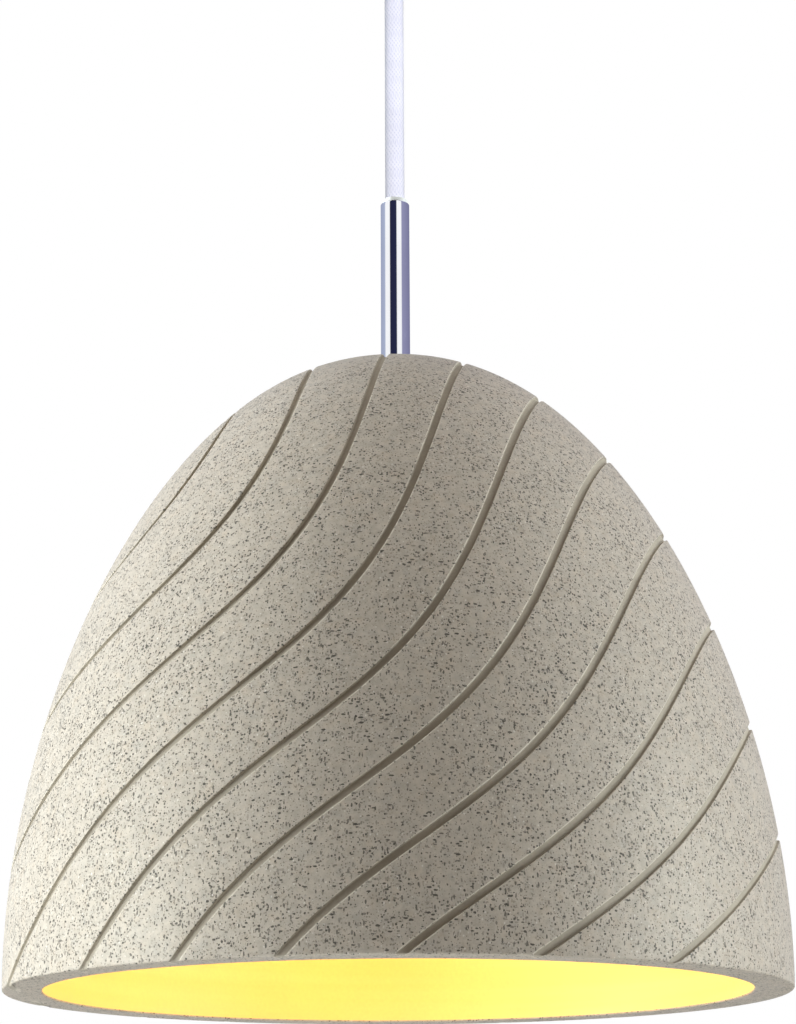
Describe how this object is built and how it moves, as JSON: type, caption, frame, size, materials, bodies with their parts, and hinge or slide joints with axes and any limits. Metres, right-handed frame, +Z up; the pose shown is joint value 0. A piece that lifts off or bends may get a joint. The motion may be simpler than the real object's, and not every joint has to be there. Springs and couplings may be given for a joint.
{
  "type": "pendant ceiling light",
  "caption": "Pendant light with a speckled cast-stone dome shade cut with wavy grooves, a chrome stem, a braided cord and a chrome ceiling canopy.",
  "frame": {"origin": "centre of the mounting bracket's top face, where it lies against the ceiling", "axes": "+Z up into the ceiling, along the stem; +X along the bracket, towards its right-hand side screw"},
  "size_m": [0.25, 0.25, 0.4094],
  "materials": {
    "cast_stone": "matte",
    "polished_chrome": "polished",
    "zinc_steel": "satin",
    "brass": "satin",
    "white_plastic": "satin",
    "white_braid": "matte",
    "black_rubber": "matte",
    "porcelain": "satin",
    "opal_glass": "satin",
    "black_glass": "gloss",
    "green_board": "satin",
    "white_board": "satin",
    "brown_wire": "satin",
    "blue_wire": "satin",
    "green_wire": "satin"
  },
  "bodies": {
    "ceiling_mount": {"mounting_bracket": "zinc_steel", "canopy_cup": "polished_chrome", "canopy_screw_left": "polished_chrome", "canopy_screw_right": "polished_chrome", "terminal_block": "white_plastic", "block_screw_left": "zinc_steel", "block_screw_right": "zinc_steel", "earth_screw": "brass", "supply_wire_live": "brown_wire", "supply_wire_neutral": "blue_wire", "supply_wire_earth": "green_wire", "cord_grip": "polished_chrome", "grip_set_screw": "zinc_steel", "grip_washer": "zinc_steel", "grip_nut": "zinc_steel", "cord_head": "white_braid", "terminal_barrel_live": "brass", "terminal_screw_live_lamp": "brass", "terminal_screw_live_mains": "brass", "terminal_barrel_neutral": "brass", "terminal_screw_neutral_lamp": "brass", "terminal_screw_neutral_mains": "brass", "terminal_barrel_earth": "brass", "terminal_screw_earth_lamp": "brass", "terminal_screw_earth_mains": "brass"},
    "swivel": {"swivel_ball": "white_plastic"},
    "cord": {"cord": "white_braid"},
    "pendant": {"cord_bush": "white_plastic", "stem_tube": "polished_chrome", "seat_washer": "polished_chrome", "shade": "cast_stone", "pad_washer": "black_rubber", "load_washer": "zinc_steel", "lock_washer": "zinc_steel", "stem_nut": "zinc_steel", "cord_tail": "white_braid", "holder_cap": "white_plastic", "holder_set_screw": "zinc_steel", "earth_tag": "brass", "cap_nut": "zinc_steel", "holder_core": "porcelain", "core_screw_left": "brass", "core_screw_right": "brass", "holder_shell": "white_plastic", "thread_shell": "brass", "centre_contact": "brass", "lamp_wire_live": "brown_wire", "lamp_wire_neutral": "blue_wire", "lamp_wire_earth": "green_wire"},
    "bulb_tip": {"bulb_tip": "zinc_steel"},
    "bulb": {"bulb_insulator": "black_glass", "bulb_cap": "zinc_steel", "bulb_body": "white_plastic", "driver_board": "green_board", "led_board": "white_board", "bulb_globe": "opal_glass"}
  },
  "joints": [
    {"name": "swing_x", "type": "hinge", "parent": "ceiling_mount", "child": "swivel", "pos_m": [0, 0, -0.0475], "axis": [1, 0, 0], "range_deg": [-20, 20]},
    {"name": "swing_y", "type": "hinge", "parent": "swivel", "child": "cord", "pos_m": [0, 0, -0.0475], "axis": [0, 1, 0], "range_deg": [-20, 20]},
    {"name": "shade_turn", "type": "hinge", "parent": "cord", "child": "pendant", "pos_m": [0, 0, -0.1374], "axis": [0, 0, 1], "range_deg": [-180, 180]},
    {"name": "bulb_travel", "type": "slide", "parent": "pendant", "child": "bulb_tip", "axis": [0, 0, -1], "range_m": [0, 0.0182]},
    {"name": "bulb_turn", "type": "hinge", "parent": "bulb_tip", "child": "bulb", "pos_m": [0, 0, -0.2658], "axis": [0, 0, -1], "range_deg": [0, 1800]}
  ],
  "couplings": [
    {"joint": "bulb_travel", "follows": "bulb_turn", "m_per_rad": 0.00057757}
  ]
}
